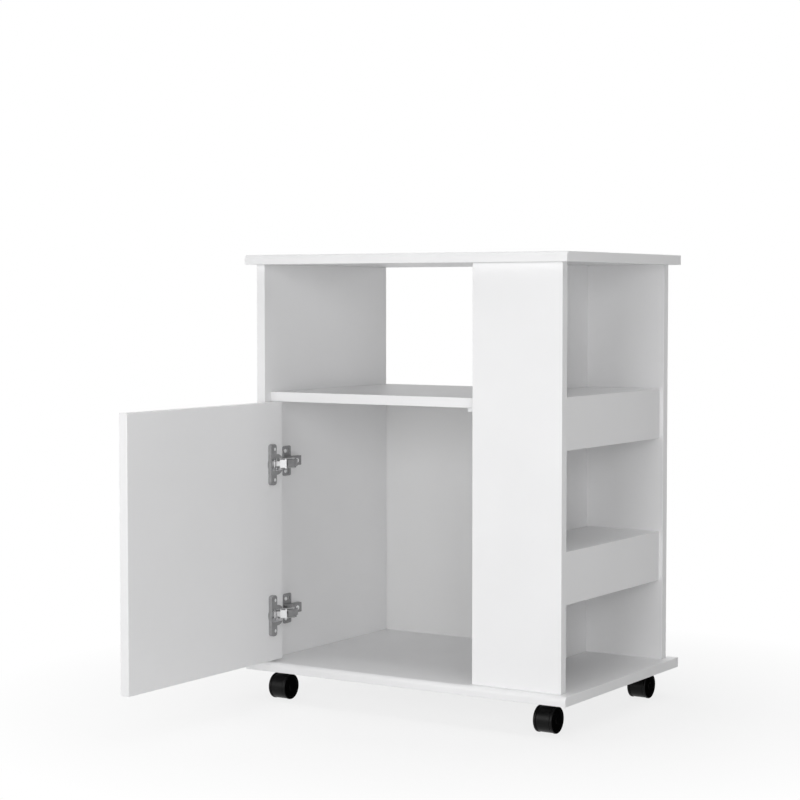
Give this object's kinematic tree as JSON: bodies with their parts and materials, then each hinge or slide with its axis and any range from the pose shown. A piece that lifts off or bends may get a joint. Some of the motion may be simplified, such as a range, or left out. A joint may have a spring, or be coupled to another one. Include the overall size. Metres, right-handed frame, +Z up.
{
  "type": "microwave cabinet",
  "caption": "White board cabinet on twin wheel casters: flat top for an appliance, open niche, compartment with an inset hinged door, and a bay of cubbies open to the side.",
  "frame": {"origin": "on the floor, under the centre of the base and top boards", "axes": "+Z up, the front with the door faces -Y, +X towards the bay of cubbies"},
  "size_m": [0.57, 0.7343, 0.702],
  "materials": {
    "white_board": "white satin laminate on chipboard",
    "white_plastic": "moulded, matte",
    "dowel_wood": "raw fluted beech",
    "zinc_screw": "zinc plated",
    "bright_steel": "nickel plated, bright",
    "hinge_metal": "dark nickel, satin",
    "caster_plastic": "black moulded, semi-gloss"
  },
  "bodies": {
    "cabinet": {"top_panel": "white_board", "base_panel": "white_board", "left_side_panel": "white_board", "front_panel": "white_board", "rear_panel": "white_board", "partition_panel": "white_board", "main_shelf": "white_board", "bay_shelf_lower": "white_board", "bay_shelf_upper": "white_board", "bay_fascia_lower": "white_board", "bay_fascia_upper": "white_board", "back_panel": "white_board", "door_stop": "white_plastic", "screw_caps": "white_plastic", "dowels": "dowel_wood", "top_screws": "zinc_screw", "base_screws": "zinc_screw", "side_screws": "zinc_screw", "caster_screws": "zinc_screw", "back_nails": "zinc_screw", "hinge_plate_screws": "zinc_screw", "hinge_arm_screws": "zinc_screw", "hinge_arm_pins": "bright_steel", "hinge_upper_mounting_plate": "hinge_metal", "hinge_upper_arm": "hinge_metal", "hinge_lower_mounting_plate": "hinge_metal", "hinge_lower_arm": "hinge_metal", "caster_front_left_plate": "hinge_metal", "caster_front_right_plate": "hinge_metal", "caster_rear_left_plate": "hinge_metal", "caster_rear_right_plate": "hinge_metal"},
    "outer_links": {"hinge_upper_outer_link": "bright_steel", "hinge_lower_outer_link": "bright_steel"},
    "inner_links": {"hinge_upper_inner_link": "bright_steel", "hinge_lower_inner_link": "bright_steel"},
    "door": {"door_panel": "white_board", "hinge_upper_cup": "hinge_metal", "hinge_lower_cup": "hinge_metal", "hinge_cup_pins": "bright_steel", "hinge_cup_screws": "zinc_screw"},
    "caster_front_left": {"caster_front_left_housing": "caster_plastic", "caster_front_left_axle": "zinc_screw"},
    "caster_front_left_wheel_left": {"caster_front_left_wheel_left": "caster_plastic"},
    "caster_front_left_wheel_right": {"caster_front_left_wheel_right": "caster_plastic"},
    "caster_front_right": {"caster_front_right_housing": "caster_plastic", "caster_front_right_axle": "zinc_screw"},
    "caster_front_right_wheel_left": {"caster_front_right_wheel_left": "caster_plastic"},
    "caster_front_right_wheel_right": {"caster_front_right_wheel_right": "caster_plastic"},
    "caster_rear_left": {"caster_rear_left_housing": "caster_plastic", "caster_rear_left_axle": "zinc_screw"},
    "caster_rear_left_wheel_left": {"caster_rear_left_wheel_left": "caster_plastic"},
    "caster_rear_left_wheel_right": {"caster_rear_left_wheel_right": "caster_plastic"},
    "caster_rear_right": {"caster_rear_right_housing": "caster_plastic", "caster_rear_right_axle": "zinc_screw"},
    "caster_rear_right_wheel_left": {"caster_rear_right_wheel_left": "caster_plastic"},
    "caster_rear_right_wheel_right": {"caster_rear_right_wheel_right": "caster_plastic"}
  },
  "joints": [
    {"name": "outer_links_pivot", "type": "hinge", "parent": "cabinet", "child": "outer_links", "pos_m": [-0.22045, -0.15251, 0.25], "axis": [0, 0, 1], "range_deg": [-26.83, 0.46]},
    {"name": "door_swing", "type": "hinge", "parent": "outer_links", "child": "door", "pos_m": [-0.2351, -0.1775, 0.25], "axis": [0, 0, 1], "range_deg": [-1.95, 116.82]},
    {"name": "inner_links_pivot", "type": "hinge", "parent": "cabinet", "child": "inner_links", "pos_m": [-0.22427, -0.16983, 0.25], "axis": [0, 0, 1], "range_deg": [-41.18, 0.7]},
    {"name": "caster_front_left_swivel", "type": "hinge", "parent": "cabinet", "child": "caster_front_left", "pos_m": [-0.238, -0.142, 0.048], "axis": [0, 0, 1], "continuous": true},
    {"name": "caster_front_left_wheel_left_spin", "type": "hinge", "parent": "caster_front_left", "child": "caster_front_left_wheel_left", "pos_m": [-0.238, -0.1555, 0.02], "axis": [1, 0, 0], "continuous": true},
    {"name": "caster_front_left_wheel_right_spin", "type": "hinge", "parent": "caster_front_left", "child": "caster_front_left_wheel_right", "pos_m": [-0.238, -0.1555, 0.02], "axis": [1, 0, 0], "continuous": true},
    {"name": "caster_front_right_swivel", "type": "hinge", "parent": "cabinet", "child": "caster_front_right", "pos_m": [0.238, -0.142, 0.048], "axis": [0, 0, 1], "continuous": true},
    {"name": "caster_front_right_wheel_left_spin", "type": "hinge", "parent": "caster_front_right", "child": "caster_front_right_wheel_left", "pos_m": [0.238, -0.1555, 0.02], "axis": [1, 0, 0], "continuous": true},
    {"name": "caster_front_right_wheel_right_spin", "type": "hinge", "parent": "caster_front_right", "child": "caster_front_right_wheel_right", "pos_m": [0.238, -0.1555, 0.02], "axis": [1, 0, 0], "continuous": true},
    {"name": "caster_rear_left_swivel", "type": "hinge", "parent": "cabinet", "child": "caster_rear_left", "pos_m": [-0.238, 0.142, 0.048], "axis": [0, 0, 1], "continuous": true},
    {"name": "caster_rear_left_wheel_left_spin", "type": "hinge", "parent": "caster_rear_left", "child": "caster_rear_left_wheel_left", "pos_m": [-0.238, 0.1555, 0.02], "axis": [1, 0, 0], "continuous": true},
    {"name": "caster_rear_left_wheel_right_spin", "type": "hinge", "parent": "caster_rear_left", "child": "caster_rear_left_wheel_right", "pos_m": [-0.238, 0.1555, 0.02], "axis": [1, 0, 0], "continuous": true},
    {"name": "caster_rear_right_swivel", "type": "hinge", "parent": "cabinet", "child": "caster_rear_right", "pos_m": [0.238, 0.142, 0.048], "axis": [0, 0, 1], "continuous": true},
    {"name": "caster_rear_right_wheel_left_spin", "type": "hinge", "parent": "caster_rear_right", "child": "caster_rear_right_wheel_left", "pos_m": [0.238, 0.1555, 0.02], "axis": [1, 0, 0], "continuous": true},
    {"name": "caster_rear_right_wheel_right_spin", "type": "hinge", "parent": "caster_rear_right", "child": "caster_rear_right_wheel_right", "pos_m": [0.238, 0.1555, 0.02], "axis": [1, 0, 0], "continuous": true}
  ],
  "couplings": [
    {"joint": "outer_links_pivot", "follows": "door_swing", "ratio": -0.22959},
    {"joint": "inner_links_pivot", "follows": "door_swing", "ratio": -0.35241}
  ]
}
